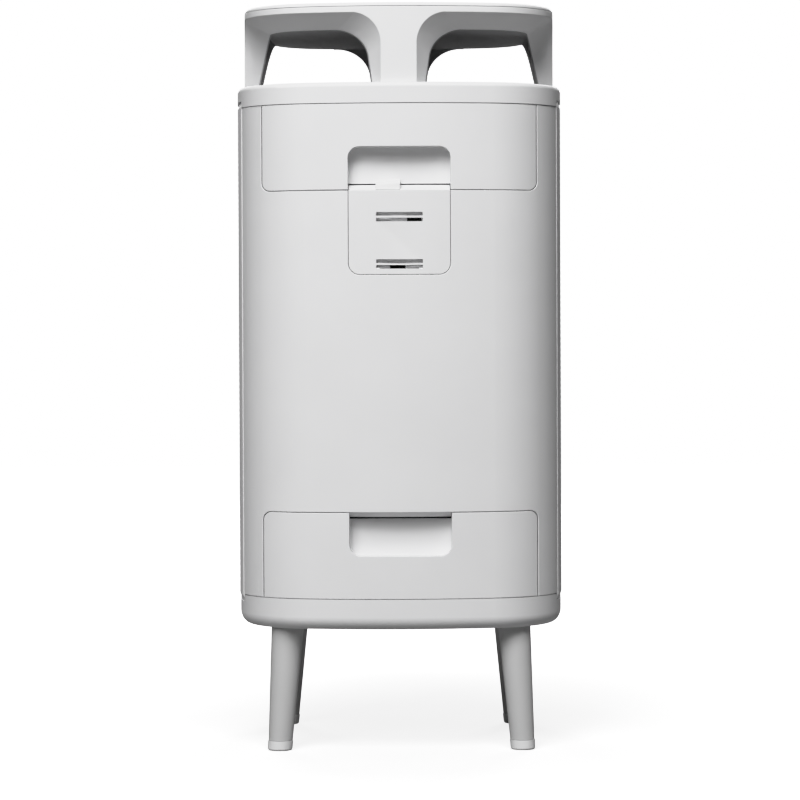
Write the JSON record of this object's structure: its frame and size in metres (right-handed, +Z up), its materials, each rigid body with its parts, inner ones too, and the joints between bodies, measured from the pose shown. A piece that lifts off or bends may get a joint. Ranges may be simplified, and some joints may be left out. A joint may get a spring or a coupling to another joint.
{
  "type": "air purifier",
  "caption": "Tall air purifier on splayed legs with a side-table top over open corner windows, side outlet grilles and filter drawers.",
  "frame": {"origin": "centre of the footprint, on the floor", "axes": "+Z up; -Y is the service side with the two drawers and the sensor hatch; +X is to the right when the service side is faced"},
  "size_m": [0.3072, 0.2842, 0.6898],
  "materials": {
    "housing_plastic": "fine satin texture",
    "grille_plastic": "fine satin texture",
    "intake_plastic": "matt",
    "prefilter_fabric": "woven mesh",
    "button_plastic": "satin",
    "lens_plastic": "smoked translucent",
    "circuit_board": "solder-masked",
    "inner_plastic": "moulded",
    "fan_plastic": "moulded",
    "motor_metal": "painted",
    "steel": "plated",
    "filter_frame_plastic": "moulded",
    "filter_paper": "pleated non-woven",
    "seal_foam": "foam",
    "ribbon": "woven ribbon",
    "sensor_plastic": "moulded",
    "socket_plastic": "moulded",
    "leg_plastic": "satin",
    "foot_plastic": "smooth"
  },
  "bodies": {
    "housing": {"base": "housing_plastic", "base_screws": "steel", "bottom_intake_grille": "intake_plastic", "bottom_prefilter": "prefilter_fabric", "control_board": "circuit_board", "control_lens": "lens_plastic", "crown": "housing_plastic", "fan_baffle_front": "inner_plastic", "fan_baffle_rear": "inner_plastic", "foot_cap_front_left": "foot_plastic", "foot_cap_front_right": "foot_plastic", "foot_cap_rear_left": "foot_plastic", "foot_cap_rear_right": "foot_plastic", "front_shell": "housing_plastic", "intake_liner": "intake_plastic", "ioniser_bars": "inner_plastic", "leg_front_left": "leg_plastic", "leg_front_right": "leg_plastic", "leg_rear_left": "leg_plastic", "leg_rear_right": "leg_plastic", "leg_studs": "steel", "lid": "housing_plastic", "lower_deck": "inner_plastic", "lower_drawer_bay": "inner_plastic", "lower_runners": "inner_plastic", "motor": "motor_metal", "motor_bearings": "steel", "motor_plate": "inner_plastic", "power_board": "circuit_board", "power_inlet": "socket_plastic", "rear_shell": "housing_plastic", "sensor_bay": "housing_plastic", "sensor_board": "circuit_board", "sensor_ducts": "socket_plastic", "sensor_module": "sensor_plastic", "side_grille_left": "grille_plastic", "side_grille_right": "grille_plastic", "tabletop": "housing_plastic", "tie_rods": "steel", "top_intake_grille": "intake_plastic", "top_prefilter": "prefilter_fabric", "upper_deck": "inner_plastic", "upper_drawer_bay": "inner_plastic", "upper_runners": "inner_plastic"},
    "upper_drawer": {"upper_drawer_front": "housing_plastic", "upper_drawer_tray": "inner_plastic", "upper_filter_frame": "filter_frame_plastic", "upper_filter_pleats": "filter_paper", "upper_filter_seal": "seal_foam", "pull_tab": "ribbon"},
    "lower_drawer": {"lower_drawer_front": "housing_plastic", "lower_drawer_tray": "inner_plastic", "lower_filter_frame": "filter_frame_plastic", "lower_filter_pleats": "filter_paper", "lower_filter_seal": "seal_foam"},
    "sensor_hatch": {"sensor_cover": "housing_plastic"},
    "rotor": {"rotor_shaft": "steel", "upper_impeller": "fan_plastic", "lower_impeller": "fan_plastic"},
    "button": {"control_button": "button_plastic"}
  },
  "joints": [
    {"name": "upper_drawer_slide", "type": "slide", "parent": "housing", "child": "upper_drawer", "axis": [0, -1, 0], "range_m": [0, 0.17]},
    {"name": "lower_drawer_slide", "type": "slide", "parent": "housing", "child": "lower_drawer", "axis": [0, -1, 0], "range_m": [0, 0.17]},
    {"name": "sensor_hatch_tilt", "type": "hinge", "parent": "housing", "child": "sensor_hatch", "pos_m": [0, -0.1414, 0.4406], "axis": [1, 0, 0], "range_deg": [0, 50]},
    {"name": "fan_spin", "type": "hinge", "parent": "housing", "child": "rotor", "pos_m": [0, 0, 0.36875], "axis": [0, 0, 1], "continuous": true},
    {"name": "button_press", "type": "slide", "parent": "housing", "child": "button", "axis": [0, 0, -1], "range_m": [0, 0.0008], "stiffness_N_per_m": 400}
  ]
}
